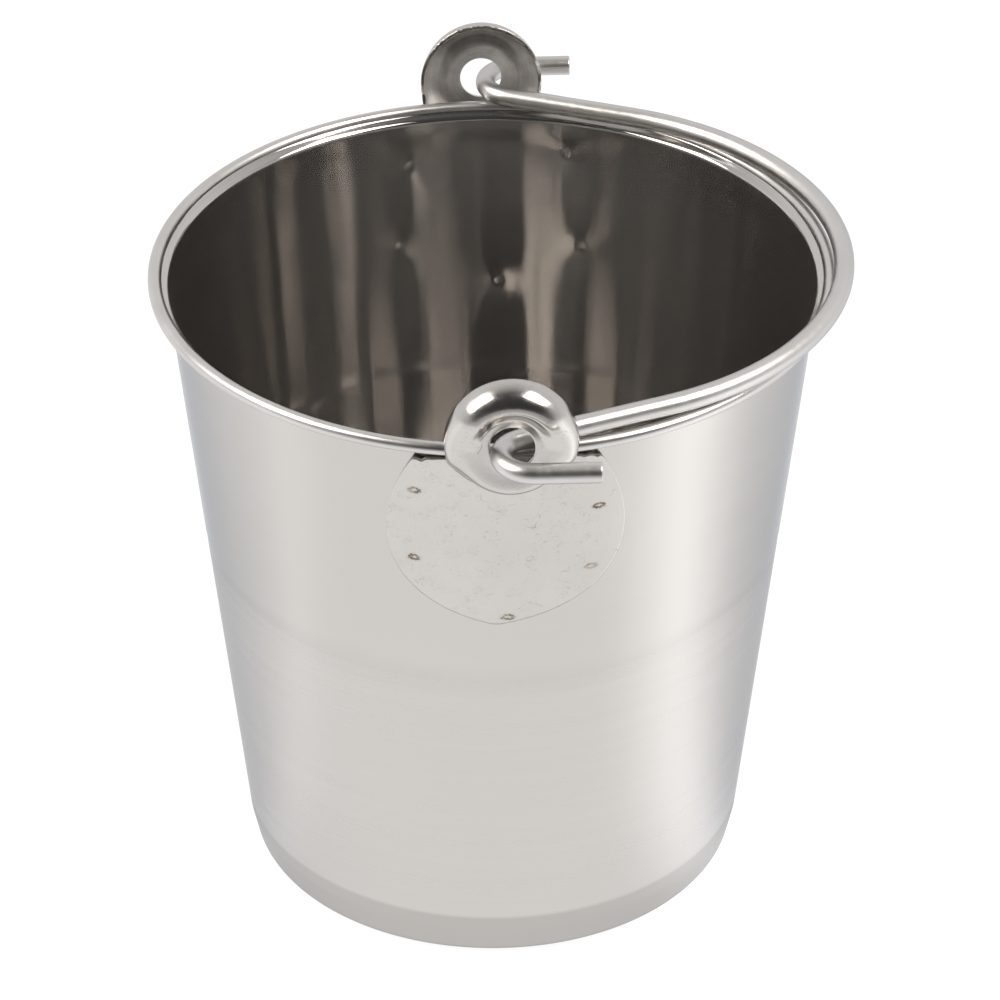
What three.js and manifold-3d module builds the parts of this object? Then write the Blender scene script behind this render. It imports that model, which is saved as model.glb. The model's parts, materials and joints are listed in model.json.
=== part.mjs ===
// Feed bucket: a deep-drawn stainless steel pail with two spot-welded ears and a bent-wire bail.
// Millimetres. The origin is the centre of the flat base's underside and +Z is up.
// The ears face -Y (front) and +Y (rear), and the bail lies folded towards +X.

import * as THREE from "three";
import { mergeVertices } from "three/addons/utils/BufferGeometryUtils.js";
import Module from "manifold-3d";

const wasm = await Module();
wasm.setup();

// Pail: one drawn sheet
const SHEET = 0.8;
const WALL_FOOT_RADIUS = 104.5; // the straight wall's outer face, run down to the base plane
const WALL_SLOPE = 0.1075; // outward run per unit of height
const BAND_HEIGHT = 14; // the steeper band pressed in above the base
const BAND_FOOT_RADIUS = 102.9; // the band's outer face, run down to the base plane
const BASE_CORNER = 4.5; // outer radius of the corner between base and band
const CORNER_END_ANGLE = -8; // where the corner runs into the band

// Rim: the sheet turned outward and down, open underneath
const RIM_CENTRE_RADIUS = 138.55;
const RIM_CENTRE_Z = 273.1;
const RIM_ROLL = 2.65; // to the roll's outer face
const RIM_START_ANGLE = 180;
const RIM_END_ANGLE = -60;
const RIM_NECK_HEIGHT = 3.2; // the wall starts to flare this far below the roll's centre
const RIM_STEPS = 12;
const CORNER_STEPS = 5;
const PAIL_SIDES = 72;

// Ears: one stamping each
const EYE_Z = 281.5; // the hole's centre, and the axis the bail swings about
const EYE_X = 1.2; // both holes sit a little towards +X
const EYE_TALL = 1.06; // the eye and its hole are this much taller than wide
const EAR_SHEET = 1.5;
const EAR_GAP = 0.3; // between the patch and the pail's wall
const HOLE_RADIUS = 9;
const HOLE_FACE = 151; // distance of the dished face from the pail's axis
const DISH_RADIUS = 11.5; // flat ring around the hole
const CREST_RADIUS = 18;
const CREST_FACE = 155.9;
const EYE_RADIUS = 26.2; // the eye's free edge
const EYE_EDGE_FACE = 144.7;
const NECK_RADIUS = 29; // where the eye's flank runs into the patch
const NECK_FACE = 131.5;
const FREE_EDGE_Z = 266.5; // above this the eye's edge is free and passes outside the rim
const EYE_SIDES = 40;
const DISH_STEPS = 3;
const CREST_STEPS = 5;
const PATCH_TOP_Z = 265.5;
const PATCH_WIDEST_Z = 229;
const PATCH_TIP_Z = 182.5;
const PATCH_HALF_TOP = 36.5;
const PATCH_HALF_WIDTH = 47.2;
const PATCH_TIP_X = -4;
const PATCH_SHOULDER = [44, 252]; // where the outline's curve aims below each square shoulder
const PATCH_CHEEK = [25, 188]; // where it aims before the tip
const PATCH_RISE = 11; // pull of the curve up from the widest place
const PATCH_FALL = 29; // and down from it
const PATCH_CURVE_STEPS = 8;
const BAND_MARGIN = 5; // the wall band is cut this much taller than the patch

// Bail: one bent wire, with a hook at each end
const WIRE_RADIUS = 4.15;
const BAIL_Z = 280.15; // the folded wire lies level on the rim
const BAIL_Y = -2.85; // it has end play in the holes, and rests a little towards the front
const HOOP_RADIUS = 125.4;
const HOOP_CENTRE_X = 18.2;
const HOOKS = [
  { side: -1, centreX: 9.3, centreY: 151.5, radius: 12.8, endX: 35 },
  { side: 1, centreX: 17.4, centreY: 150.2, radius: 14.4, endX: 40.4 },
];
const HOOK_STEPS = 16;
const HOOP_STEPS = 40;
const WIRE_STEPS = 160;
const WIRE_SIDES = 12;

const REACH = 200; // length of cutting solids, past anything they cut
const DEGREE = Math.PI / 180;

function steel(colour, roughness) {
  return new THREE.MeshStandardMaterial({ color: colour, roughness, metalness: 1 });
}

function part(name, geometry, surface) {
  const mesh = new THREE.Mesh(geometry, surface);
  mesh.name = name;
  return mesh;
}

// A closed three.js geometry as a solid that can be joined or cut.
function toSolid(geometry) {
  const bare = geometry.clone();
  bare.deleteAttribute("normal");
  bare.deleteAttribute("uv");
  const merged = mergeVertices(bare, 1e-4);
  return new wasm.Manifold(new wasm.Mesh({
    numProp: 3,
    vertProperties: new Float32Array(merged.attributes.position.array),
    triVerts: new Uint32Array(merged.index.array),
  }));
}

function toGeometry(solid) {
  const mesh = solid.getMesh();
  const geometry = new THREE.BufferGeometry();
  geometry.setAttribute("position", new THREE.BufferAttribute(mesh.vertProperties, 3));
  geometry.setIndex(new THREE.BufferAttribute(mesh.triVerts, 1));
  geometry.computeVertexNormals();
  return geometry;
}

// Points along an arc in degrees; semi-axes may differ.
function arc(centreX, centreY, radiusX, radiusY, from, to, steps) {
  return Array.from({ length: steps + 1 }, (_, i) => {
    const angle = (from + ((to - from) * i) / steps) * DEGREE;
    return [centreX + radiusX * Math.cos(angle), centreY + radiusY * Math.sin(angle)];
  });
}

// The left or right edge of a band that follows a line of points, mitred at each bend.
function offsetLine(line, distance) {
  return line.map(([x, y], i) => {
    const [ax, ay] = line[Math.max(i - 1, 0)];
    const [bx, by] = line[Math.min(i + 1, line.length - 1)];
    const length = Math.hypot(bx - ax, by - ay);
    return [x - (distance * (by - ay)) / length, y + (distance * (bx - ax)) / length];
  });
}

// A solid of revolution about +Y from a closed outline of [radius, height] points.
function turned(outline, sides) {
  const closed = [...outline, outline[0]];
  return new THREE.LatheGeometry(closed.map(([radius, height]) => new THREE.Vector2(radius, height)), sides);
}

// The pail's outer face at a height between the band and the rim.
function wallRadius(height) {
  return WALL_FOOT_RADIUS + WALL_SLOPE * height;
}

// The sheet's middle line, from the base's centre to the lip.
function pailLine() {
  const half = SHEET / 2;
  const bandTop = wallRadius(BAND_HEIGHT);
  const bandSlope = (bandTop - BAND_FOOT_RADIUS) / BAND_HEIGHT;
  const cornerRadius = BASE_CORNER - half;
  const cornerX = BAND_FOOT_RADIUS + bandSlope * BASE_CORNER - BASE_CORNER;
  const neckZ = RIM_CENTRE_Z - RIM_NECK_HEIGHT;
  const curl = RIM_ROLL - half;
  const roll = arc(RIM_CENTRE_RADIUS, RIM_CENTRE_Z, curl, curl, RIM_START_ANGLE, RIM_END_ANGLE, RIM_STEPS);
  return [
    [0, half],
    ...arc(cornerX, BASE_CORNER, cornerRadius, cornerRadius, -90, CORNER_END_ANGLE, CORNER_STEPS),
    [bandTop - half, BAND_HEIGHT],
    [wallRadius(neckZ) - half, neckZ],
    ...roll,
  ];
}

function shellGeometry() {
  const line = pailLine();
  const outside = offsetLine(line, -SHEET / 2);
  const inside = offsetLine(line, SHEET / 2);
  outside[0] = [0, 0];
  inside[0] = [0, SHEET];
  const outline = [...outside, ...inside.reverse()];
  const points = outline.map(([radius, height]) => new THREE.Vector2(radius, height));
  return new THREE.LatheGeometry(points, PAIL_SIDES).rotateX(Math.PI / 2);
}

// A band around the pail's wall, between two distances outside it.
function wallBand(near, far, lowZ, highZ) {
  const outline = [
    [wallRadius(lowZ) + near, lowZ],
    [wallRadius(lowZ) + far, lowZ],
    [wallRadius(highZ) + far, highZ],
    [wallRadius(highZ) + near, highZ],
  ];
  return turned(outline, PAIL_SIDES).rotateX(Math.PI / 2);
}

// The domed eye, turned about the hole's axis, pointing to -Y.
function eyeGeometry(eyeX) {
  const crestRise = CREST_FACE - HOLE_FACE;
  const crestDrop = CREST_FACE - EYE_EDGE_FACE;
  const face = [
    [HOLE_RADIUS, HOLE_FACE],
    [DISH_RADIUS, HOLE_FACE],
    ...arc(CREST_RADIUS, HOLE_FACE, CREST_RADIUS - DISH_RADIUS, crestRise, 160, 90, DISH_STEPS),
    ...arc(CREST_RADIUS, EYE_EDGE_FACE, EYE_RADIUS - CREST_RADIUS, crestDrop, 70, 0, CREST_STEPS),
    [NECK_RADIUS, NECK_FACE],
  ];
  const back = offsetLine(face, -EAR_SHEET);
  back[0][0] = HOLE_RADIUS;
  const eye = turned([...face.reverse(), ...back], EYE_SIDES).rotateX(Math.PI);
  return eye.scale(1, 1, EYE_TALL).translate(eyeX, 0, EYE_Z);
}

// The patch's outline seen from the front: two square shoulders, round flanks and a blunt tip.
function patchOutline() {
  const shape = new THREE.Shape();
  shape.moveTo(PATCH_HALF_TOP, PATCH_TOP_Z);
  shape.lineTo(-PATCH_HALF_TOP, PATCH_TOP_Z);
  const [shoulderX, shoulderZ] = PATCH_SHOULDER;
  const [cheekX, cheekZ] = PATCH_CHEEK;
  const wide = PATCH_HALF_WIDTH;
  const aboveZ = PATCH_WIDEST_Z + PATCH_RISE;
  const belowZ = PATCH_WIDEST_Z - PATCH_FALL;
  shape.bezierCurveTo(-shoulderX, shoulderZ, -wide, aboveZ, -wide, PATCH_WIDEST_Z);
  shape.bezierCurveTo(-wide, belowZ, -cheekX, cheekZ, PATCH_TIP_X, PATCH_TIP_Z);
  shape.bezierCurveTo(cheekX, cheekZ, wide, belowZ, wide, PATCH_WIDEST_Z);
  shape.bezierCurveTo(wide, aboveZ, shoulderX, shoulderZ, PATCH_HALF_TOP, PATCH_TOP_Z);
  return shape;
}

function block(lowX, highX, lowY, highY, lowZ, highZ) {
  const box = new THREE.BoxGeometry(highX - lowX, highY - lowY, highZ - lowZ);
  return box.translate((lowX + highX) / 2, (lowY + highY) / 2, (lowZ + highZ) / 2);
}

// One ear facing -Y: the patch lies on the wall, and the eye stands out over the rim.
function earGeometry(eyeX) {
  const lowZ = PATCH_TIP_Z - BAND_MARGIN;
  const highZ = PATCH_TOP_Z + BAND_MARGIN;
  const neckInside = NECK_RADIUS - EAR_SHEET;
  const neckHole = new THREE.CylinderGeometry(neckInside, neckInside, REACH, EYE_SIDES);
  neckHole.scale(1, 1, EYE_TALL).translate(eyeX, -REACH / 2, EYE_Z);
  const cut = { depth: REACH, bevelEnabled: false, curveSegments: PATCH_CURVE_STEPS };
  const prism = new THREE.ExtrudeGeometry(patchOutline(), cut);
  prism.rotateX(Math.PI / 2);
  const patch = toSolid(prism)
    .intersect(toSolid(wallBand(EAR_GAP, EAR_GAP + EAR_SHEET, lowZ, highZ)))
    .subtract(toSolid(neckHole));
  const eye = toSolid(eyeGeometry(eyeX))
    .subtract(toSolid(wallBand(EAR_GAP - WALL_FOOT_RADIUS, EAR_GAP, lowZ, highZ)))
    .subtract(toSolid(block(-REACH, REACH, -EYE_EDGE_FACE, 0, FREE_EDGE_Z, REACH * 2)));
  return toGeometry(patch.add(eye));
}

// The direction, from the hoop's centre, of the straight stretch between the hoop and a hook.
function hookAngle({ centreX, centreY, radius }) {
  const alongX = centreX - HOOP_CENTRE_X;
  const span = Math.hypot(alongX, centreY);
  return (Math.atan2(centreY, alongX) - Math.acos((HOOP_RADIUS + radius) / span)) / DEGREE;
}

// A point of the folded bail, which lies level and off centre by its end play.
function bailPoint(x, y) {
  return new THREE.Vector3(x, BAIL_Y + y, BAIL_Z);
}

// A hook's centreline, from the hoop's side of the hole round to the wire's end.
function hookLine(hook) {
  const { side, centreX, centreY, radius, endX } = hook;
  const bend = arc(centreX, centreY, radius, radius, hookAngle(hook) + 180, 90, HOOK_STEPS);
  const points = bend.map(([x, y]) => bailPoint(x, side * y));
  const endY = side * (centreY + radius);
  return [...points, bailPoint((centreX + endX) / 2, endY), bailPoint(endX, endY)];
}

function bailGeometry() {
  const [front, rear] = HOOKS;
  const from = -hookAngle(front);
  const to = hookAngle(rear);
  const hoop = arc(HOOP_CENTRE_X, 0, HOOP_RADIUS, HOOP_RADIUS, from, to, HOOP_STEPS);
  const middle = hoop.map(([x, y]) => bailPoint(x, y));
  const points = [...hookLine(front).reverse(), ...middle, ...hookLine(rear)];
  const path = new THREE.CatmullRomCurve3(points, false, "centripetal");
  const section = new THREE.Shape();
  section.absarc(0, 0, WIRE_RADIUS, 0, 2 * Math.PI, false);
  return new THREE.ExtrudeGeometry(section, {
    steps: WIRE_STEPS,
    curveSegments: WIRE_SIDES / 2,
    extrudePath: path,
    bevelEnabled: false,
  });
}

const bucket = new THREE.Group();
bucket.name = "feed_bucket";
bucket.add(part("shell", shellGeometry(), steel(0xd0d2d3, 0.22)));
bucket.add(part("ear_front", earGeometry(EYE_X), steel(0xc6c6c4, 0.3)));
bucket.add(part("ear_rear", earGeometry(-EYE_X).rotateZ(Math.PI), steel(0xc6c6c4, 0.3)));
bucket.add(part("bail", bailGeometry(), steel(0xcfcfcd, 0.18)));

export default bucket;
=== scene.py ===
"""Stainless steel feed bucket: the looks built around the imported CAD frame.

Lengths are in millimetres in the shape functions and become metres when a mesh is made.
"""

import json
import math

import bpy
import numpy as np
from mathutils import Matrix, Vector


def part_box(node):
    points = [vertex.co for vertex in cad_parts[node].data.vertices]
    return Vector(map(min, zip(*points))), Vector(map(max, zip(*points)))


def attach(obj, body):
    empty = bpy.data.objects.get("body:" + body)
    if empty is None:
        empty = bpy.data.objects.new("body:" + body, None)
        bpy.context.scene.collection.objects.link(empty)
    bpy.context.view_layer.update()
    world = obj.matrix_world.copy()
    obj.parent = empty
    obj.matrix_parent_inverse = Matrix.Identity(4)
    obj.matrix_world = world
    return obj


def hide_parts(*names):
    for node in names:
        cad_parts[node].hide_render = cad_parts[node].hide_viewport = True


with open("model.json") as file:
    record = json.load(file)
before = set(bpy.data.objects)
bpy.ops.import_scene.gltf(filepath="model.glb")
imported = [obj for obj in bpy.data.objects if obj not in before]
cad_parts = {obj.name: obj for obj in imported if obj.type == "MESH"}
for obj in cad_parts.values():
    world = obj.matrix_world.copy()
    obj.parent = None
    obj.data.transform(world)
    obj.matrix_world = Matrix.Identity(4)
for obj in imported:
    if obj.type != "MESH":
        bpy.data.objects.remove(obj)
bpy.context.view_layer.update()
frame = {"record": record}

MM = 0.001


def box_mm(node):
    """The low and high corners of a CAD node's box, in millimetres."""
    return [[value / MM for value in corner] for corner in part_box(node)]


# Places read from the frame, in millimetres
HINGE = [value / MM for value in frame["record"]["behaviour"]["joints"][0]["pos_m"]]
EYE_X, EYE_Z = HINGE[0], HINGE[2]
SHELL_HIGH = box_mm("shell")[1]
EAR_LOW, EAR_HIGH = box_mm("ear_front")
BAIL_HIGH = box_mm("bail")[1]

# Pail
SHEET = 0.8
WALL_FOOT_RADIUS = 104.5
WALL_SLOPE = 0.1075
BAND_HEIGHT = 14.0
BAND_FOOT_RADIUS = 102.9
BASE_CORNER = 4.5
RIM_ROLL = 2.65
RIM_CENTRE_RADIUS = SHELL_HIGH[0] - RIM_ROLL
RIM_CENTRE_Z = SHELL_HIGH[2] - RIM_ROLL
RIM_START_ANGLE = 180
RIM_END_ANGLE = -60
RIM_NECK_HEIGHT = 3.2
RIM_ROWS = 41
NECK_STEPS = 8
LIP_REACH = 0.35  # how far the sheet's rounded edge stands out, as a share of the last row's height
WALL_FINE_START = 168.0  # the wall's rows are 1 mm apart from here up and 2 mm apart below
FLOOR_ROWS = 60
ANGLE_STEP = 1.25
FINE_ANGLE_STEP = 0.4  # within FINE_REACH degrees of an ear's middle
FINE_REACH = 24.0
EAR_DIRECTIONS = (90.0, 270.0)
WAVY_FROM = (15.0, 60.0)  # the sheet's waviness grows between the first two heights
WAVY_TO = (245.0, 266.0)  # and fades between these two
WALL_END = (258.0, 267.0)  # where the weld pulls and draw rings fade out

# Ears
EAR_SHEET = 1.5
EAR_GAP = 0.3
EDGE_ROUND = 0.12
EDGE_PROFILE = [(0.10, 0.55), (0.3, 0.9), (0.5, 1.0), (0.7, 0.9), (0.90, 0.55)]  # (depth, out) as shares
HOLE_RADIUS = 9.0
HOLE_FACE = 151.0
DISH_RADIUS = 11.6
CREST_RADIUS = 18.0
CREST_FACE = -EAR_LOW[1]
LOW_CREST_DROP = 4.5  # the torus fades out below the hole, where the eye runs into the patch
EYE_RADIUS = 26.2
EYE_EDGE_FACE = 144.7
EYE_TALL = 1.06
NECK_RADIUS = 29.0
PATCH_TOP_Z = 265.5
PATCH_WIDEST_Z = 229.0
PATCH_TIP_Z = EAR_LOW[2]
PATCH_HALF_TOP = 36.5
PATCH_HALF_WIDTH = EAR_HIGH[0]
PATCH_TIP_X = -4.0
PATCH_SHOULDER = (44.0, 252.0)
PATCH_CHEEK = (25.0, 188.0)
PATCH_RISE = 11.0
PATCH_FALL = 29.0
PATCH_ROWS = 60
CURL_START = (26.0, 34.0)  # the patch's two top corners curl outward beyond these half widths
CURL_REACH = 2.6
CURL_OUT = 0.9
CURL_DOWN = 0.9

# Bail
WIRE_RADIUS = 4.15
HOOP_RADIUS = 125.4
HOOP_CENTRE_X = BAIL_HIGH[0] - WIRE_RADIUS - HOOP_RADIUS
HOOKS = [
    {"side": -1, "x": 9.3, "y": 151.5, "radius": 12.8, "end_x": 35.0},
    {"side": 1, "x": 17.4, "y": 150.2, "radius": 14.4, "end_x": 40.4},
]
BAIL_Y = BAIL_HIGH[1] - WIRE_RADIUS - HOOKS[1]["y"] - HOOKS[1]["radius"]
BAIL_Z = BAIL_HIGH[2] - WIRE_RADIUS
WIRE_SIDES = 48
WIRE_STEP = 0.9
WIRE_CHAMFER = 0.5

# Spot welds as (x, z) seen from the front, for the front ear and for the rear one
FRONT_WELDS = [(-36.2, 248.9), (-36.3, 214.9), (0.8, 186.5), (36.5, 238.9), (33.8, 208.6)]
REAR_WELDS = [(-30.2, 250.4), (-35.0, 213.7), (8.0, 194.1), (36.7, 256.0), (43.5, 213.8)]
WELD_CONE_DEPTH = 0.62
WELD_CONE_REACH = 6.5
WELD_CONE_TIP = 0.8  # rounds the cone's tip, in square millimetres
WELD_DIMPLE_DEPTH = 0.42
WELD_DIMPLE_RADIUS = 1.5
WELD_PIT_DEPTH = 0.28
WELD_PIT_RADIUS = 1.7
WELD_RIDGE_HEIGHT = 0.1
WELD_RIDGE_RADIUS = 2.6
WELD_RIDGE_WIDTH = 0.8


# ---------------------------------------------------------------- mesh helpers


def smoothstep(low, high, value):
    """0 below low, 1 above high and a smooth rise between them."""
    t = np.clip((value - low) / (high - low), 0.0, 1.0)
    return t * t * (3.0 - 2.0 * t)


def make_object(name, points, faces, materials, face_materials=None):
    """A smooth-shaded mesh object from points in millimetres."""
    mesh = bpy.data.meshes.new(name)
    mesh.from_pydata([tuple(p) for p in np.asarray(points) * MM], [], [tuple(f) for f in faces])
    for material in materials:
        mesh.materials.append(material)
    if face_materials is not None:
        mesh.polygons.foreach_set("material_index", np.asarray(face_materials, dtype=np.int32))
    mesh.polygons.foreach_set("use_smooth", np.ones(len(mesh.polygons), dtype=bool))
    mesh.update()
    obj = bpy.data.objects.new(name, mesh)
    bpy.context.scene.collection.objects.link(obj)
    return obj


def arc(centre_x, centre_y, radius, start, end, steps):
    """Points on a circle from one angle to another, in degrees."""
    angles = np.radians(np.linspace(start, end, steps + 1))
    return [(centre_x + radius * math.cos(a), centre_y + radius * math.sin(a)) for a in angles]


def offset_line(line, distance):
    """The line moved sideways to its left by a distance."""
    line = np.asarray(line, float)
    ahead = np.vstack([line[1:], line[-1:]])
    behind = np.vstack([line[:1], line[:-1]])
    run = ahead - behind
    run /= np.linalg.norm(run, axis=1)[:, None]
    return line + distance * np.stack([-run[:, 1], run[:, 0]], axis=1)


def ring_quads(rows, around):
    """Quads between neighbouring rows of points that each close on themselves."""
    quads = []
    for row in range(rows - 1):
        for i in range(around):
            here, beside = row * around + i, row * around + (i + 1) % around
            quads.append((here, beside, beside + around, here + around))
    return quads


def add_fan(points, faces, first, around, centre, flip):
    """Closes a ring of points with triangles round a centre, and gives back the points with the centre."""
    middle = len(points)
    for i in range(around):
        a, b = first + i, first + (i + 1) % around
        faces.append((middle, b, a) if flip else (middle, a, b))
    return np.vstack([points, [centre]])


def wall_radius(z):
    """The wall's outer radius at a height."""
    return WALL_FOOT_RADIUS + WALL_SLOPE * np.asarray(z)


# ---------------------------------------------------------------- pail


def pail_line():
    """The sheet's middle line as (radius, height), from the base's centre up to the rim's edge."""
    half = SHEET / 2
    band_top = wall_radius(BAND_HEIGHT)
    band_slope = (band_top - BAND_FOOT_RADIUS) / BAND_HEIGHT
    corner_x = BAND_FOOT_RADIUS + band_slope * BASE_CORNER - BASE_CORNER
    neck_z = RIM_CENTRE_Z - RIM_NECK_HEIGHT
    line = [(r, half) for r in np.linspace(0.4, corner_x - 1.5, FLOOR_ROWS)]
    line += arc(corner_x, BASE_CORNER, BASE_CORNER - half, -90, -8, 12)
    band_foot = line[-1]
    for t in np.linspace(0.15, 1.0, 10):
        z = band_foot[1] + (BAND_HEIGHT - band_foot[1]) * t
        line.append((band_foot[0] + (band_top - half - band_foot[0]) * t, z))
    coarse = np.arange(BAND_HEIGHT + 1.0, WALL_FINE_START, 2.0)
    fine = np.arange(WALL_FINE_START, neck_z, 1.0)
    line += [(wall_radius(z) - half, z) for z in np.concatenate([coarse, fine])]
    start = (wall_radius(neck_z) - half, neck_z)
    rim_centre = (RIM_CENTRE_RADIUS, RIM_CENTRE_Z)
    roll = arc(*rim_centre, RIM_ROLL - half, RIM_START_ANGLE, RIM_END_ANGLE, RIM_ROWS - 1)
    line.append(start)
    for t in np.linspace(0.0, 1.0, NECK_STEPS + 1)[1:-1]:
        ease = float(smoothstep(0.0, 1.0, t))
        line.append((start[0] + (roll[0][0] - start[0]) * ease, start[1] + (roll[0][1] - start[1]) * t))
    return line + roll


def pail_angles():
    """Angles round the pail, closer together near the two ears."""
    angles, angle = [], 0.0
    while angle < 360.0 - 1e-6:
        angles.append(angle)
        to_ear = min(abs(angle - direction) for direction in EAR_DIRECTIONS)
        angle += FINE_ANGLE_STEP if to_ear < FINE_REACH else ANGLE_STEP
    return np.radians(angles)


def weld_pull(x, z, welds):
    """How far each spot weld pulls the wall outward: a sharp dimple in a wide shallow cone."""
    pull = np.zeros_like(x)
    for weld_x, weld_z in welds:
        distance = np.hypot(x - weld_x, z - weld_z)
        cone = WELD_CONE_DEPTH * np.exp(-np.sqrt(distance**2 + WELD_CONE_TIP) / WELD_CONE_REACH)
        pull += cone - WELD_DIMPLE_DEPTH * np.exp(-((distance / WELD_DIMPLE_RADIUS) ** 2))
    return pull


def ripple_share(z):
    """How much of the waviness shows at a height: none by the stiff base and rim."""
    return smoothstep(*WAVY_FROM, z) * (1.0 - smoothstep(*WAVY_TO, z))


def sheet_ripple(angle, z):
    """The slow waviness of drawn sheet, which bends its reflections."""
    wave = 0.05 * np.sin(5 * angle + 0.8) * np.sin(z / 61.0 + 0.3)
    wave += 0.035 * np.sin(9 * angle + 2.1 + z / 90.0) + 0.018 * np.sin(17 * angle + z / 37.0)
    wave += 0.024 * np.sin(23 * angle + 1.3 + z / 55.0) + 0.012 * np.sin(47 * angle - z / 29.0)
    return wave * ripple_share(z)


def inner_ripple(angle, z):
    """The tighter waviness of the inner face, which breaks its reflections into streaks."""
    wave = 0.030 * np.sin(31 * angle + 0.7 + z / 80.0) + 0.014 * np.sin(53 * angle - 1.1 - z / 60.0)
    return wave * ripple_share(z)


def draw_rings(z):
    """Faint steps left in the wall where the draw was made in stages."""
    rings = 0.10 * smoothstep(150.0, 158.0, z) + 0.05 * smoothstep(196.0, 204.0, z)
    return rings - 0.12 * np.exp(-(((z - 153.0) / 2.6) ** 2))


def pail_bulge(x, y, z, angle, is_inside):
    """How far the sheet stands out from its plain shape: not at all at the base and on the rim."""
    bulge = np.where(y < 0.0, weld_pull(x, z, FRONT_WELDS), weld_pull(x, z, REAR_WELDS))
    on_wall = smoothstep(BAND_HEIGHT, BAND_HEIGHT + 20.0, z) * (1.0 - smoothstep(*WALL_END, z))
    bulge = (bulge + draw_rings(z)) * on_wall + sheet_ripple(angle, z)
    return bulge + inner_ripple(angle, z) * is_inside


def make_pail(materials):
    """The pail as one closed sheet; the materials are its outside's, inside's and rim's."""
    line = pail_line()
    outside = offset_line(line, -SHEET / 2)
    inside = offset_line(line, SHEET / 2)
    lip = np.asarray(line[-1:]) + (np.asarray(line[-1]) - np.asarray(line[-2])) * LIP_REACH
    outline = np.vstack([outside, lip, inside[::-1]])
    count = len(outside)
    is_inside = np.concatenate([np.zeros(count + 1), np.ones(count)])
    angles = pail_angles()
    rows, columns = len(outline), len(angles)
    radius, height = outline[:, 0][:, None], outline[:, 1][:, None]
    x, y = radius * np.cos(angles), radius * np.sin(angles)
    z = np.broadcast_to(height, x.shape)
    bulge = pail_bulge(x, y, z, angles[None, :], is_inside[:, None])
    grow = 1.0 + bulge / np.maximum(radius, 1.0)
    points = np.stack([x * grow, y * grow, z], axis=-1).reshape(-1, 3)
    faces = ring_quads(rows, columns)
    rim_start = count - RIM_ROWS
    face_materials = []
    for row in range(rows - 1):
        on_rim = rim_start <= row < 2 * count - rim_start
        face_materials += [2 if on_rim else int(is_inside[row])] * columns
    points = add_fan(points, faces, 0, columns, (0.0, 0.0, 0.0), flip=True)
    points = add_fan(points, faces, (rows - 1) * columns, columns, (0.0, 0.0, SHEET), flip=False)
    face_materials += [0] * columns + [1] * columns
    return make_object("pail", points, faces, materials, face_materials)


# ---------------------------------------------------------------- ears


def patch_face(x, z):
    """Distance from the pail's axis plane to the patch's outer face."""
    return np.sqrt((wall_radius(z) + EAR_GAP + EAR_SHEET) ** 2 - np.asarray(x) ** 2)


def bezier(p0, p1, p2, p3, steps):
    """Points along a cubic curve from p0 to p3."""
    t = np.linspace(0.0, 1.0, steps + 1)[:, None]
    p0, p1, p2, p3 = (np.asarray(p, float) for p in (p0, p1, p2, p3))
    return (1 - t) ** 3 * p0 + 3 * (1 - t) ** 2 * t * p1 + 3 * (1 - t) * t**2 * p2 + t**3 * p3


def patch_outline(count):
    """The patch's edge from its right shoulder round the tip to its left one, evenly spaced."""
    corner, widest = (PATCH_HALF_TOP, PATCH_TOP_Z), (PATCH_HALF_WIDTH, PATCH_WIDEST_Z)
    tip = (PATCH_TIP_X, PATCH_TIP_Z)
    rising = (PATCH_HALF_WIDTH, PATCH_WIDEST_Z + PATCH_RISE)
    falling = (PATCH_HALF_WIDTH, PATCH_WIDEST_Z - PATCH_FALL)
    flip = np.array([-1.0, 1.0])
    upper = bezier(corner, PATCH_SHOULDER, rising, widest, 80)
    lower_right = bezier(widest, falling, PATCH_CHEEK, tip, 80)
    lower_left = bezier(tip, flip * PATCH_CHEEK, flip * falling, flip * widest, 80)
    line = np.vstack([upper, lower_right[1:], lower_left[1:], (upper * flip)[::-1][1:]])
    run = np.concatenate([[0.0], np.cumsum(np.linalg.norm(np.diff(line, axis=0), axis=1))])
    even = np.linspace(0.0, run[-1], count)
    return np.stack([np.interp(even, run, line[:, 0]), np.interp(even, run, line[:, 1])], axis=1)


def dish_profile():
    """(radius, share of the crest's height) from the hole's edge up the torus's inner side to its crest."""
    flat = [(radius, 0.0) for radius in np.linspace(HOLE_RADIUS, DISH_RADIUS, 6)]
    rise = np.linspace(DISH_RADIUS, CREST_RADIUS, 26)[1:]
    return flat + [(radius, float(smoothstep(DISH_RADIUS, CREST_RADIUS, radius))) for radius in rise]


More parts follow.
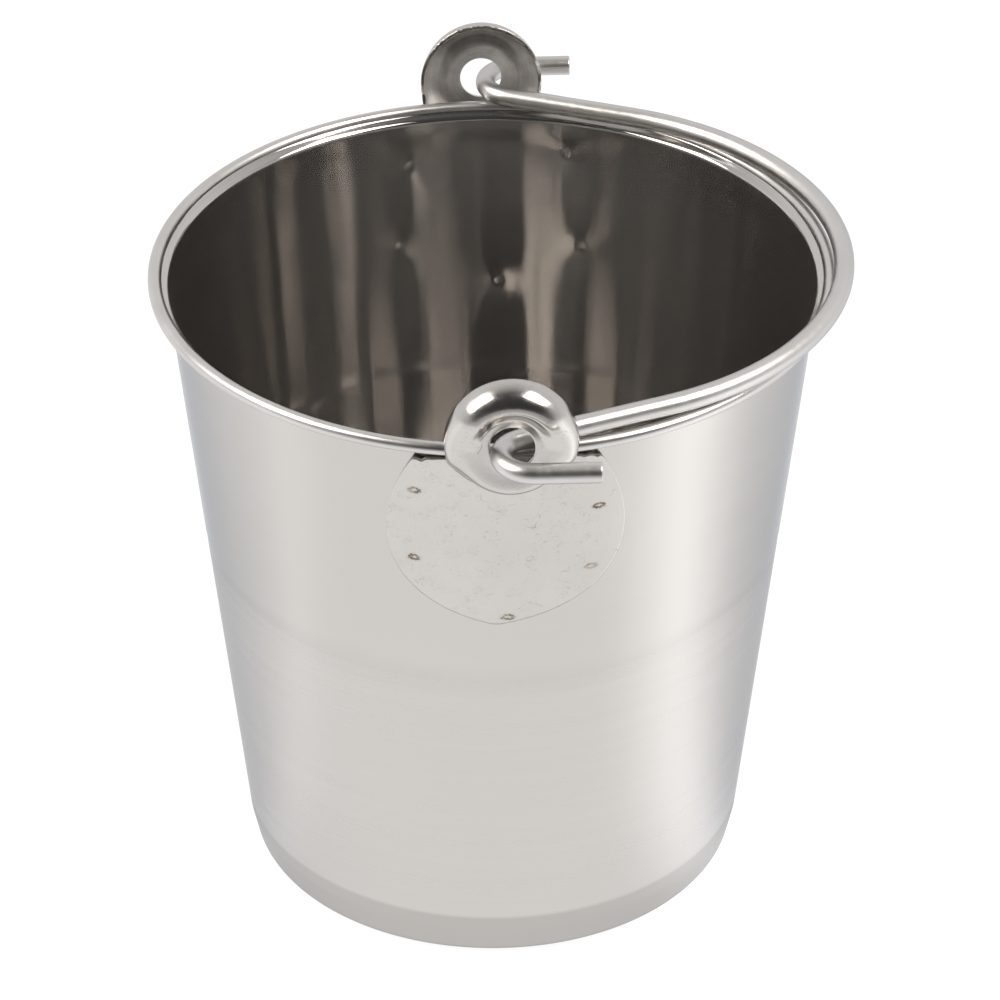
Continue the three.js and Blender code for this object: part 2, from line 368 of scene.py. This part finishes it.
def eye_rows(angles, eye_x, edge_noise):
    """Rows of (x, distance outward, z) from the hole's edge out to the eye's edge or the neck."""
    below = np.degrees(np.arcsin(-np.sin(angles)))
    low = smoothstep(8.0, 46.0, below)
    edge_radius = EYE_RADIUS + (NECK_RADIUS - EYE_RADIUS) * low
    edge_x = eye_x + edge_radius * np.cos(angles)
    edge_z = EYE_Z + EYE_TALL * edge_radius * np.sin(angles)
    neck_face = patch_face(edge_x, np.minimum(edge_z, PATCH_TOP_Z))
    edge_face = EYE_EDGE_FACE + (neck_face - EYE_EDGE_FACE) * low
    crest_face = CREST_FACE - LOW_CREST_DROP * smoothstep(-45.0, 5.0, below)
    rows = []
    for radius, share in dish_profile():
        rows.append((np.full_like(angles, radius), HOLE_FACE + (crest_face - HOLE_FACE) * share))
    for t in np.sin(np.linspace(0.0, math.pi / 2, 29))[1:]:
        free = math.sqrt(max(1.0 - t * t, 0.0))
        welded = 0.6 * math.cos(math.pi * t / 2) + 0.2 * (1.0 + math.cos(math.pi * t))
        fall = free + (welded - free) * low
        burr = edge_noise * (1.0 - low) * smoothstep(0.96, 1.0, t)
        radius = CREST_RADIUS + (edge_radius - CREST_RADIUS) * t + burr
        rows.append((radius, edge_face + (crest_face - edge_face) * fall))
    across, up = np.cos(angles), EYE_TALL * np.sin(angles)
    return [np.stack([eye_x + r * across, face, EYE_Z + r * up], axis=1) for r, face in rows]


def weld_marks(x, z, welds):
    """How far the patch's outer face stands out round its spot welds: a pit in a low ridge."""
    marks = np.zeros_like(x)
    for weld_x, weld_z in welds:
        distance = np.hypot(x - weld_x, z - weld_z)
        marks -= WELD_PIT_DEPTH * np.exp(-((distance / WELD_PIT_RADIUS) ** 2))
        marks += WELD_RIDGE_HEIGHT * np.exp(-(((distance - WELD_RIDGE_RADIUS) / WELD_RIDGE_WIDTH) ** 2))
    return marks


def patch_rows(neck, outline, welds):
    """Rows of (x, distance outward, z) on the patch, after the neck's and out to the patch's edge."""
    rows = []
    for t in np.linspace(0.0, 1.0, PATCH_ROWS + 1)[1:]:
        flat = neck * (1 - t) + outline * t
        x, z = flat[:, 0], flat[:, 1]
        curl = np.exp(-(PATCH_TOP_Z - z) / CURL_REACH) * smoothstep(*CURL_START, np.abs(x))
        inland = smoothstep(0.0, 0.15, t) * (1 - smoothstep(0.8, 1.0, t))
        face = patch_face(x, z) + weld_marks(x, z, welds)
        face += CURL_OUT * curl * (0.75 + 0.35 * np.sin(x * 0.9))
        face += 0.10 * np.sin(x / 11.0 + 1.0) * np.sin(z / 13.0) * inland
        z = z - (CURL_DOWN + 0.5 * np.sin(x * 1.1 + 0.4)) * curl
        rows.append(np.stack([x, face, z], axis=1))
    return rows


def ear_sheet(eye_x, welds, edge_noise):
    """The ear's outer face as points (x, distance outward, z) and quads."""
    reach = math.degrees(math.asin((EYE_Z - PATCH_TOP_Z) / (NECK_RADIUS * EYE_TALL)))
    lower = np.linspace(-reach, -180.0 + reach, 97)
    upper = np.linspace(180.0 + reach, -reach, 201)[1:-1]
    angles = np.radians(np.concatenate([lower, upper]))
    around, across = len(angles), len(lower)
    eye = eye_rows(angles, eye_x, edge_noise(angles))
    neck = eye[-1][:across, [0, 2]]
    patch = patch_rows(neck, patch_outline(across), welds)
    faces = [(a, d, c, b) for a, b, c, d in ring_quads(len(eye), around)]
    row_starts = [(len(eye) - 1) * around] + [len(eye) * around + row * across for row in range(PATCH_ROWS)]
    for above, below in zip(row_starts, row_starts[1:]):
        for i in range(across - 1):
            faces.append((above + i, below + i, below + i + 1, above + i + 1))
    return np.vstack(eye + patch), faces


def vertex_normals(points, faces):
    """A unit normal at each point, averaged over the quads round it."""
    quads = np.asarray(faces)
    normals = np.zeros_like(points)
    diagonal_a = points[quads[:, 2]] - points[quads[:, 0]]
    diagonal_b = points[quads[:, 3]] - points[quads[:, 1]]
    face_normals = np.cross(diagonal_a, diagonal_b)
    for corner in range(4):
        np.add.at(normals, quads[:, corner], face_normals)
    return normals / np.linalg.norm(normals, axis=1)[:, None]


def thicken(points, faces):
    """A closed sheet from an open face: an offset back, and rounded strips along the free edges."""
    normals = vertex_normals(points, faces)
    count = len(points)
    back = points - normals * EAR_SHEET
    edges = dict.fromkeys((a, b) for face in faces for a, b in zip(face, face[1:] + face[:1]))
    border = [(a, b) for a, b in edges if (b, a) not in edges]
    solid = [tuple(face) for face in faces]
    solid += [tuple(i + count for i in reversed(face)) for face in faces]
    outward = {}
    for a, b in border:
        direction = np.cross(points[b] - points[a], normals[a])
        for i in (a, b):
            outward[i] = outward.get(i, 0) + direction / np.linalg.norm(direction)
    extra, rims = [], {}
    for i, direction in outward.items():
        direction = direction / np.linalg.norm(direction)
        rims[i] = [i]
        for depth, out in EDGE_PROFILE:
            rims[i].append(2 * count + len(extra))
            extra.append(points[i] - normals[i] * EAR_SHEET * depth + direction * EDGE_ROUND * out)
        rims[i].append(i + count)
    for a, b in border:
        for k in range(len(EDGE_PROFILE) + 1):
            solid.append((rims[b][k], rims[a][k], rims[a][k + 1], rims[b][k + 1]))
    face_materials = [0] * len(faces) + [1] * len(faces) + [0] * (len(solid) - 2 * len(faces))
    return np.vstack([points, back, np.array(extra)]), solid, face_materials


def make_ear(name, side, materials):
    """side is -1 for the front ear and 1 for the rear one; the materials are its outer and inner faces'."""
    eye_x = -side * EYE_X
    welds = FRONT_WELDS if side < 0 else [(-x, z) for x, z in REAR_WELDS]
    generator = np.random.default_rng(11 if side < 0 else 5)
    jag = np.repeat(generator.normal(0.0, 1.0, 120), 3)

    def edge_noise(angles):
        degrees = np.degrees(np.mod(angles, 2 * math.pi))
        rough = smoothstep(20.0, 40.0, degrees) * (1.0 - smoothstep(95.0, 120.0, degrees))
        amount = 0.20 * rough + 0.03 if side > 0 else 0.03
        return -np.abs(np.interp(degrees, np.arange(360), jag)) * amount

    points, faces = ear_sheet(eye_x, welds, edge_noise)
    points = points * [1.0, -1.0, 1.0]
    faces = [face[::-1] for face in faces]
    points, solid, face_materials = thicken(points, faces)
    if side > 0:
        points = points * [-1.0, -1.0, 1.0]
    return make_object(name, points, solid, materials, face_materials)


# ---------------------------------------------------------------- bail


def hook_angle(hook):
    """The direction, from the hoop's centre, of the straight stretch between the hoop and a hook."""
    along = hook["x"] - HOOP_CENTRE_X
    reach = math.hypot(along, hook["y"])
    return math.degrees(math.atan2(hook["y"], along) - math.acos((HOOP_RADIUS + hook["radius"]) / reach))


def hook_line(hook):
    """A hook's centreline from the hoop's side of the hole round to the wire's end."""
    line = arc(hook["x"], hook["y"], hook["radius"], hook_angle(hook) + 180.0, 90.0, 48)
    x, y = line[-1]
    line += [(x + (hook["end_x"] - x) * t, y) for t in np.linspace(0.0, 1.0, 20)[1:]]
    return [(x, BAIL_Y + hook["side"] * y, BAIL_Z) for x, y in line]


def bail_line():
    """The whole wire's centreline, from its front end round the hoop to its rear end."""
    front, rear = HOOKS
    hoop = arc(HOOP_CENTRE_X, BAIL_Y, HOOP_RADIUS, -hook_angle(front), hook_angle(rear), 160)
    line = hook_line(front)[::-1] + [(x, y, BAIL_Z) for x, y in hoop]
    return np.array(line + hook_line(rear))


def even_spacing(line, step):
    """The line in steps of one length, with its joins between bends softened."""
    run = np.concatenate([[0.0], np.cumsum(np.linalg.norm(np.diff(line, axis=0), axis=1))])
    count = int(run[-1] / step)
    even = np.linspace(0.0, run[-1], count)
    spaced = np.stack([np.interp(even, run, line[:, k]) for k in range(3)], axis=1)
    for _ in range(6):
        spaced[1:-1] = (spaced[:-2] + 2 * spaced[1:-1] + spaced[2:]) / 4
    return spaced


def make_bail(material):
    """The wire swept along its centreline, a little uneven, with chamfered ends."""
    line = even_spacing(bail_line(), WIRE_STEP)
    tangents = np.gradient(line, axis=0)
    tangents /= np.linalg.norm(tangents, axis=1)[:, None]
    turn = np.linspace(0.0, 2 * math.pi, WIRE_SIDES, endpoint=False)
    up = np.array([0.0, 0.0, 1.0])
    rings = []
    normal = np.cross(up, tangents[0])
    for i, (point, tangent) in enumerate(zip(line, tangents)):
        normal = normal - tangent * np.dot(normal, tangent)
        normal /= np.linalg.norm(normal)
        binormal = np.cross(tangent, normal)
        radius = WIRE_RADIUS - 0.02 + 0.012 * math.sin(i * 0.21) + 0.01 * math.sin(i * 0.057 + 1.0)
        circle = np.outer(np.cos(turn), normal) + np.outer(np.sin(turn), binormal)
        if i == 0:
            rings.append(point + circle * (radius - WIRE_CHAMFER))
            rings.append(point + tangent * WIRE_CHAMFER * 0.3 + circle * (radius - 0.12))
            rings.append(point + tangent * WIRE_CHAMFER + circle * radius)
        elif i == len(line) - 1:
            rings.append(point - tangent * WIRE_CHAMFER + circle * radius)
            rings.append(point - tangent * WIRE_CHAMFER * 0.3 + circle * (radius - 0.12))
            rings.append(point + circle * (radius - WIRE_CHAMFER))
        else:
            rings.append(point + circle * radius)
    points = np.vstack(rings)
    faces = ring_quads(len(rings), WIRE_SIDES)
    last = (len(rings) - 1) * WIRE_SIDES
    points = add_fan(points, faces, 0, WIRE_SIDES, rings[0].mean(axis=0), flip=True)
    points = add_fan(points, faces, last, WIRE_SIDES, rings[-1].mean(axis=0), flip=False)
    return make_object("bail_wire", points, faces, [material])


# ---------------------------------------------------------------- materials


class Nodes:
    """A small helper that adds and links shader nodes."""

    def __init__(self, tree):
        self.tree = tree
        tree.nodes.clear()

    def add(self, kind, inputs=None, **settings):
        node = self.tree.nodes.new(kind)
        for key, value in settings.items():
            setattr(node, key, value)
        for key, value in (inputs or {}).items():
            if isinstance(value, bpy.types.NodeSocket):
                self.tree.links.new(value, node.inputs[key])
            else:
                node.inputs[key].default_value = value
        return node

    def math(self, operation, a, b=0.0):
        return self.add("ShaderNodeMath", {0: a, 1: b}, operation=operation).outputs[0]

    def vector_math(self, operation, a, b):
        return self.add("ShaderNodeVectorMath", {0: a, 1: b}, operation=operation).outputs[0]

    def scaled(self, vector, scale):
        return self.vector_math("MULTIPLY", vector, scale)

    def length(self, vector):
        return self.add("ShaderNodeVectorMath", {0: vector}, operation="LENGTH").outputs["Value"]

    def distance_from(self, place, point, scale):
        """The distance from a point, after a stretch along each axis."""
        return self.length(self.scaled(self.vector_math("SUBTRACT", place, point), scale))

    def parts(self, vector):
        return self.add("ShaderNodeSeparateXYZ", {0: vector}).outputs

    def object_place(self):
        return self.add("ShaderNodeTexCoord").outputs["Object"]

    def noise(self, vector, scale, detail=3.0, roughness=0.55):
        inputs = {"Vector": vector, "Scale": scale, "Detail": detail, "Roughness": roughness}
        return self.add("ShaderNodeTexNoise", inputs).outputs["Fac"]

    def remap(self, value, low, high, to_low, to_high):
        inputs = {"Value": value, "From Min": low, "From Max": high, "To Min": to_low, "To Max": to_high}
        return self.add("ShaderNodeMapRange", inputs).outputs["Result"]

    def mix(self, factor, a, b):
        node = self.add("ShaderNodeMix", {0: factor}, data_type="RGBA")
        for index, value in ((6, a), (7, b)):
            if isinstance(value, bpy.types.NodeSocket):
                self.tree.links.new(value, node.inputs[index])
            else:
                node.inputs[index].default_value = (*value, 1.0)
        return node.outputs[2]


def new_material(name):
    material = bpy.data.materials.new(name)
    material.use_nodes = True
    return material, Nodes(material.node_tree)


# Tints at a grazing angle
EDGE_TINT = (0.60, 0.62, 0.66)
PALE_EDGE_TINT = (0.80, 0.80, 0.80)
INSIDE_EDGE_TINT = (0.97, 0.96, 0.95)

# Colours
STEEL = (0.56, 0.54, 0.52)
STEEL_LIGHT = (0.63, 0.61, 0.59)
FOOT_GREY = (0.22, 0.21, 0.20)
INSIDE = (0.56, 0.547, 0.534)
INSIDE_LIGHT = (0.61, 0.596, 0.581)
INSIDE_LINE = (0.48, 0.467, 0.455)
RIM = (0.59, 0.576, 0.562)
RIM_LIGHT = (0.69, 0.676, 0.662)
WIRE = (0.62, 0.605, 0.59)
WIRE_LIGHT = (0.70, 0.685, 0.67)
HANDLING_MARK = (0.42, 0.41, 0.39)
SCRATCH = (0.16, 0.155, 0.15)
WELD_BROWN = (0.45, 0.36, 0.24)
WELD_RING = (0.07, 0.055, 0.04)
PRESSED = (0.43, 0.415, 0.40)
PRESSED_LIGHT = (0.63, 0.615, 0.60)
PRESS_MARK = (0.72, 0.705, 0.69)

# Depths of the finest relief, in metres
OUTSIDE_RELIEF = 0.000009
INSIDE_RELIEF = 0.000012
RIM_RELIEF = 0.00001
EAR_RELIEF = 0.00003
PRESSED_RELIEF = 0.00004
WIRE_RELIEF = 0.00002

# Heights on the pail, in metres
FOOT_TOP = (0.0215, 0.0195)
BRUSHED_TOP = (0.176, 0.150)
DRAW_STEP = 0.158
DRAW_STEP_REACH = 0.009

# How far two bands on the pail turn towards the foot's grey
DRAW_STEP_SHARE = 0.07
FOOT_SHARE = 0.24

# Radii at a spot weld, in metres
WELD_BURNT = (0.0036, 0.0012)
WELD_RING_RADIUS = 0.0015
WELD_RING_WIDTH = (0.0008, 0.0002)
WELD_WOBBLE = 0.0035


def finish_steel(nodes, colour, roughness, height, relief, anisotropy=0.0, metallic=1.0, edge=EDGE_TINT):
    """The steel shader and its bump, shared by every piece; edge is its tint at a grazing angle."""
    bump = nodes.add("ShaderNodeBump", {"Height": height, "Distance": relief, "Strength": 1.0})
    inputs = {
        "Base Color": colour,
        "Metallic": metallic,
        "Roughness": roughness,
        "Specular Tint": (*edge, 1.0),
        "Anisotropic": anisotropy,
        "Anisotropic Rotation": 0.25,
        "Normal": bump.outputs[0],
    }
    shader = nodes.add("ShaderNodeBsdfPrincipled", inputs)
    if anisotropy:
        tangent = nodes.add("ShaderNodeTangent", direction_type="RADIAL", axis="Z")
        nodes.tree.links.new(tangent.outputs[0], shader.inputs["Tangent"])
    nodes.add("ShaderNodeOutputMaterial", {"Surface": shader.outputs[0]})


def outside_steel():
    """Satin outer wall: a smooth upper part, a duller brushed lower part and a matt foot band."""
    material, nodes = new_material("pail_outside")
    place = nodes.object_place()
    height = nodes.parts(place)[2]
    lines = nodes.noise(nodes.scaled(place, (5.0, 5.0, 1500.0)), 1.0, 4.0, 0.6)
    streaks = nodes.noise(nodes.scaled(place, (7.0, 7.0, 210.0)), 1.0, 4.0, 0.6)
    clouds = nodes.noise(place, 12.0, 3.0, 0.5)
    uneven = nodes.math("ADD", height, nodes.math("MULTIPLY", clouds, 0.012))
    lower = nodes.remap(uneven, *BRUSHED_TOP, 0.0, 1.0)
    foot = nodes.remap(height, *FOOT_TOP, 0.0, 1.0)
    step = nodes.math("ABSOLUTE", nodes.math("SUBTRACT", uneven, DRAW_STEP))
    step = nodes.remap(step, DRAW_STEP_REACH, 0.0, 0.0, DRAW_STEP_SHARE)
    brushed = nodes.math("MULTIPLY", streaks, nodes.remap(lower, 0.0, 1.0, 0.35, 0.9))
    tone = nodes.math("ADD", brushed, nodes.math("MULTIPLY", clouds, 0.3))
    colour = nodes.mix(tone, STEEL, STEEL_LIGHT)
    dulled = nodes.math("ADD", nodes.math("MULTIPLY", foot, FOOT_SHARE), step)
    colour = nodes.mix(dulled, colour, FOOT_GREY)
    roughness = nodes.remap(streaks, 0.3, 0.7, 0.16, 0.22)
    roughness = nodes.math("ADD", roughness, nodes.math("MULTIPLY", lower, 0.10))
    roughness = nodes.math("ADD", roughness, nodes.math("MULTIPLY", foot, 0.10))
    lines = nodes.math("MULTIPLY", lines, nodes.remap(lower, 0.0, 1.0, 0.4, 1.0))
    depth = nodes.math("ADD", lines, streaks)
    finish_steel(nodes, colour, roughness, depth, OUTSIDE_RELIEF, anisotropy=0.45)
    return material


def inside_steel():
    """Inner wall and floor: circumferential polishing lines that smear reflections up and down."""
    material, nodes = new_material("pail_inside")
    place = nodes.object_place()
    radius = nodes.length(nodes.scaled(place, (1.0, 1.0, 0.0)))
    along = nodes.math("ADD", nodes.parts(place)[2], radius)
    turning = nodes.scaled(place, (7.0, 7.0, 0.0))
    rings = nodes.add("ShaderNodeCombineXYZ", {2: nodes.math("MULTIPLY", along, 1300.0)}).outputs[0]
    lines = nodes.noise(nodes.vector_math("ADD", turning, rings), 1.0, 4.0, 0.65)
    clouds = nodes.noise(place, 16.0, 3.0, 0.5)
    colour = nodes.mix(clouds, INSIDE, INSIDE_LIGHT)
    colour = nodes.mix(nodes.remap(lines, 0.35, 0.65, 0.0, 0.4), colour, INSIDE_LINE)
    roughness = nodes.remap(lines, 0.3, 0.7, 0.06, 0.10)
    finish_steel(nodes, colour, roughness, lines, INSIDE_RELIEF, 1.0, metallic=0.97, edge=INSIDE_EDGE_TINT)
    return material


def rim_steel():
    """The rolled rim: satin, with faint handling marks."""
    material, nodes = new_material("pail_rim")
    place = nodes.object_place()
    marks = nodes.noise(place, 420.0, 4.0, 0.6)
    waves = nodes.noise(place, 60.0, 3.0, 0.5)
    colour = nodes.mix(waves, RIM, RIM_LIGHT)
    roughness = nodes.remap(waves, 0.3, 0.7, 0.27, 0.36)
    finish_steel(nodes, colour, roughness, marks, RIM_RELIEF, edge=PALE_EDGE_TINT)
    return material


def ear_outer_steel(name, weld_points):
    """The ear's outer face: stamped steel with pits, scribbled scratches and a mark at each spot weld."""
    material, nodes = new_material(name)
    place = nodes.object_place()
    pits = nodes.noise(place, 900.0, 3.0, 0.7)
    marks = nodes.noise(place, 150.0, 5.0, 0.65)
    clouds = nodes.noise(place, 34.0, 3.0, 0.5)
    burnt, ring = 0.0, 0.0
    for point in weld_points:
        distance = nodes.distance_from(place, point, (0.75, 1.0, 1.35))
        wobble = nodes.math("MULTIPLY", nodes.math("SUBTRACT", pits, 0.5), WELD_WOBBLE)
        wobble = nodes.math("ADD", distance, wobble)
        burnt = nodes.math("MAXIMUM", nodes.remap(wobble, *WELD_BURNT, 0.0, 1.0), burnt)
        band = nodes.math("ABSOLUTE", nodes.math("SUBTRACT", wobble, WELD_RING_RADIUS))
        ring = nodes.math("MAXIMUM", nodes.remap(band, *WELD_RING_WIDTH, 0.0, 1.0), ring)
    ring = nodes.math("MULTIPLY", ring, nodes.remap(marks, 0.42, 0.52, 0.35, 1.0))
    curls = nodes.noise(place, 42.0, 2.0, 0.5)
    curl_line = nodes.math("ABSOLUTE", nodes.math("SUBTRACT", curls, 0.5))
    scratch = nodes.remap(curl_line, 0.004, 0.0, 0.0, 1.0)
    scratch = nodes.math("MULTIPLY", scratch, nodes.remap(marks, 0.50, 0.62, 0.0, 0.50))
    specks = nodes.remap(pits, 0.57, 0.69, 0.0, 0.38)
    specks = nodes.math("MULTIPLY", specks, nodes.remap(marks, 0.45, 0.62, 0.1, 1.0))
    colour = nodes.mix(clouds, STEEL, STEEL_LIGHT)
    colour = nodes.mix(nodes.remap(marks, 0.56, 0.75, 0.0, 0.16), colour, HANDLING_MARK)
    colour = nodes.mix(nodes.math("MULTIPLY", burnt, 0.30), colour, WELD_BROWN)
    colour = nodes.mix(nodes.math("MAXIMUM", scratch, specks), colour, SCRATCH)
    colour = nodes.mix(nodes.math("MULTIPLY", ring, 0.85), colour, WELD_RING)
    roughness = nodes.remap(marks, 0.3, 0.7, 0.15, 0.26)
    depth = nodes.math("ADD", marks, nodes.math("MULTIPLY", pits, 0.4))
    finish_steel(nodes, colour, roughness, depth, EAR_RELIEF, edge=PALE_EDGE_TINT)
    return material


def ear_inner_steel(name, centre):
    """The ear's unpolished inner face: dull brown-grey with circular press marks round the hole."""
    material, nodes = new_material(name)
    place = nodes.object_place()
    distance = nodes.distance_from(place, centre, (1.0, 0.0, 1.0 / EYE_TALL))
    outward = nodes.add("ShaderNodeCombineXYZ", {2: nodes.math("MULTIPLY", distance, 900.0)}).outputs[0]
    turned = nodes.scaled(place, (45.0, 45.0, 45.0))
    rings = nodes.noise(nodes.vector_math("ADD", turned, outward), 1.0, 3.0, 0.6)
    blotches = nodes.noise(place, 110.0, 4.0, 0.6)
    grain = nodes.noise(place, 900.0, 3.0, 0.7)
    colour = nodes.mix(nodes.remap(blotches, 0.3, 0.7, 0.0, 1.0), PRESSED, PRESSED_LIGHT)
    colour = nodes.mix(nodes.remap(rings, 0.45, 0.70, 0.0, 0.55), colour, PRESS_MARK)
    roughness = nodes.remap(blotches, 0.3, 0.7, 0.62, 0.50)
    depth = nodes.math("ADD", nodes.math("MULTIPLY", rings, 1.5), grain)
    finish_steel(nodes, colour, roughness, depth, PRESSED_RELIEF, metallic=0.7)
    return material


def wire_steel():
    """Drawn wire: satin, with small marks all over."""
    material, nodes = new_material("bail_steel")
    place = nodes.object_place()
    marks = nodes.noise(place, 300.0, 5.0, 0.65)
    clouds = nodes.noise(place, 40.0, 3.0, 0.5)
    colour = nodes.mix(clouds, WIRE, WIRE_LIGHT)
    roughness = nodes.remap(marks, 0.3, 0.7, 0.30, 0.40)
    finish_steel(nodes, colour, roughness, marks, WIRE_RELIEF)
    return material


# ---------------------------------------------------------------- studio


FLOOR_HALF = 6.0
FLOOR_TONE = 0.10
FLOOR_GLOW = 0.93
# Two painted pools of light in the floor's glow, one on each side of the bucket
RIGHT_POOL = (-25.0, 18.0, 0.50)  # direction and width in degrees, and brightness
LEFT_POOL = (16.0, 12.0, 0.12)
FOREGROUND = (-0.50, -0.95)  # painted shade: the floor's glow fades to pale grey between these two places along Y, and the wall reflects it
FOREGROUND_GLOW = 0.45
SOFTBOX_AIM = (0.0, 0.0, 0.15)
SOFTBOX_SIZE = 1.1
SOFTBOX_RADIANCE = 9.0
SOFTBOX_TINT = (1.0, 0.95, 0.90)
SOFTBOXES = {"softbox_left": (-1.42, -0.24, 1.56), "softbox_right": (1.28, -0.50, 1.88)}
ROOM_FRONT = (0.0, -0.78, 0.62)
ROOM_BACKDROP = (0.85, 0.845, 0.84, 1.0)
ROOM_DARKEST = (0.04, 0.04, 0.041, 1.0)
ROOM_BACKDROP_END = 0.42  # from 0, facing away from ROOM_FRONT, to 1, facing it, as in ROOM_TONES
ROOM_TONES = ((0.55, 0.72), (0.65, 0.60), (0.75, 0.40), (0.82, 0.17), (0.87, 0.07), (0.93, 0.04))
MAX_BOUNCES = 40  # light reaches the depth of the bright pail only after many bounces
GLOSSY_BOUNCES = 36
CAMERA_AZIMUTH = math.radians(-2.49)
CAMERA_ELEVATION = math.radians(32.98)
CAMERA_DISTANCE = 2.1598
CAMERA_TARGET = (0.00307, 0.0, 0.16012)
CAMERA_LENS = 184.23


def light_pool(nodes, angle, centre, width, height):
    """A painted pool of light in a glow: a smooth rise of the given height at one compass direction, in
    degrees.
    """
    away = nodes.math("SUBTRACT", angle, math.radians(centre))
    away = nodes.math("DIVIDE", away, math.radians(width))
    bell = nodes.math("EXPONENT", nodes.math("MULTIPLY", nodes.math("MULTIPLY", away, away), -1.0))
    return nodes.math("MULTIPLY", bell, height)


def floor_material():
    """A pale glowing floor with painted pools of light on two sides, and painted shade that makes it a
    little greyer far in front.
    """
    material, nodes = new_material("floor_white")
    place = nodes.object_place()
    side, depth = nodes.parts(place)[:2]
    right = nodes.math("ARCTAN2", depth, side)
    left = nodes.math("ARCTAN2", nodes.math("MULTIPLY", depth, -1.0), nodes.math("MULTIPLY", side, -1.0))
    # painted pools of light added to the floor's glow
    glow = nodes.math("ADD", light_pool(nodes, right, *RIGHT_POOL), FLOOR_GLOW)
    glow = nodes.math("ADD", glow, light_pool(nodes, left, *LEFT_POOL))
    # painted shade: the glow dims far in front of the bucket
    foreground = nodes.remap(depth, *FOREGROUND, 1.0, FOREGROUND_GLOW)
    inputs = {
        "Base Color": (FLOOR_TONE, FLOOR_TONE, FLOOR_TONE, 1.0),
        "Roughness": 0.9,
        "Specular IOR Level": 0.1,
        "Emission Color": (1.0, 1.0, 1.0, 1.0),
        "Emission Strength": nodes.math("MULTIPLY", glow, foreground),
    }
    shader = nodes.add("ShaderNodeBsdfPrincipled", inputs)
    nodes.add("ShaderNodeOutputMaterial", {"Surface": shader.outputs[0]})
    return material


def make_floor():
    mesh = bpy.data.meshes.new("floor")
    corners = [(x * FLOOR_HALF, y * FLOOR_HALF, 0) for x, y in ((-1, -1), (1, -1), (1, 1), (-1, 1))]
    mesh.from_pydata(corners, [], [(0, 1, 2, 3)])
    mesh.materials.append(floor_material())
    floor = bpy.data.objects.new("floor", mesh)
    bpy.context.scene.collection.objects.link(floor)


def make_softbox(name, place):
    """A square light aimed at the bucket; its radiance is its brightness as seen."""
    data = bpy.data.lights.new(name, "AREA")
    data.shape = "RECTANGLE"
    data.size = SOFTBOX_SIZE
    data.size_y = SOFTBOX_SIZE
    data.color = SOFTBOX_TINT
    data.energy = SOFTBOX_RADIANCE * SOFTBOX_SIZE * SOFTBOX_SIZE * math.pi
    softbox = bpy.data.objects.new(name, data)
    softbox.location = place
    softbox.rotation_euler = (Vector(SOFTBOX_AIM) - Vector(place)).to_track_quat("-Z", "Y").to_euler()
    bpy.context.scene.collection.objects.link(softbox)


def make_world():
    """The room round the bucket: a pale backdrop behind that fades overhead to a dark front."""
    world = bpy.data.worlds.new("studio")
    bpy.context.scene.world = world
    world.use_nodes = True
    nodes = Nodes(world.node_tree)
    direction = nodes.add("ShaderNodeTexCoord").outputs["Generated"]
    inputs = {0: direction, 1: ROOM_FRONT}
    toward_front = nodes.add("ShaderNodeVectorMath", inputs, operation="DOT_PRODUCT").outputs["Value"]
    ramp = nodes.add("ShaderNodeValToRGB", {0: nodes.remap(toward_front, -1.0, 1.0, 0.0, 1.0)})
    stops = ramp.color_ramp.elements
    stops[0].position, stops[0].color = ROOM_BACKDROP_END, ROOM_BACKDROP
    stops[1].position, stops[1].color = 1.0, ROOM_DARKEST
    for position, tone in ROOM_TONES:
        stop = stops.new(position)
        stop.color = (tone, tone * 0.985, tone * 0.97, 1.0)
    background = nodes.add("ShaderNodeBackground", {"Color": ramp.outputs[0], "Strength": 1.0})
    nodes.add("ShaderNodeOutputWorld", {"Surface": background.outputs[0]})


def make_studio():
    make_world()
    make_floor()
    for name, place in SOFTBOXES.items():
        make_softbox(name, place)
    light_paths = bpy.context.scene.cycles
    light_paths.max_bounces = MAX_BOUNCES
    light_paths.glossy_bounces = GLOSSY_BOUNCES


def make_camera():
    """A long lens a little over two metres away, looking down at 33 degrees."""
    data = bpy.data.cameras.new("camera")
    camera = bpy.data.objects.new("camera", data)
    bpy.context.scene.collection.objects.link(camera)
    bpy.context.scene.camera = camera
    back = Vector((
        math.sin(CAMERA_AZIMUTH) * math.cos(CAMERA_ELEVATION),
        -math.cos(CAMERA_AZIMUTH) * math.cos(CAMERA_ELEVATION),
        math.sin(CAMERA_ELEVATION),
    ))
    data.sensor_width = 36.0
    data.lens = CAMERA_LENS
    data.clip_start, data.clip_end = 0.1, 50.0
    camera.location = Vector(CAMERA_TARGET) + back * CAMERA_DISTANCE
    camera.rotation_euler = (-back).to_track_quat("-Z", "Y").to_euler()


# ---------------------------------------------------------------- build


def weld_places(welds, side):
    """Weld points on an ear's outer face, in metres."""
    return [(x * MM, side * float(patch_face(x, z)) * MM, z * MM) for x, z in welds]


make_camera()
make_studio()
bpy.context.scene.view_settings.view_transform = "Standard"

pail = make_pail([outside_steel(), inside_steel(), rim_steel()])
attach(pail, "bucket")
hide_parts("shell")

for ear_name, node, ear_side, weld_list in (
    ("front_ear", "ear_front", -1, FRONT_WELDS),
    ("rear_ear", "ear_rear", 1, REAR_WELDS),
):
    outer = ear_outer_steel(ear_name + "_steel", weld_places(weld_list, ear_side))
    inner = ear_inner_steel(ear_name + "_inside", (EYE_X * MM, 0.0, EYE_Z * MM))
    ear = make_ear(ear_name, ear_side, [outer, inner])
    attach(ear, "bucket")
    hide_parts(node)

bail = make_bail(wire_steel())
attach(bail, "bail")
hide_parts("bail")
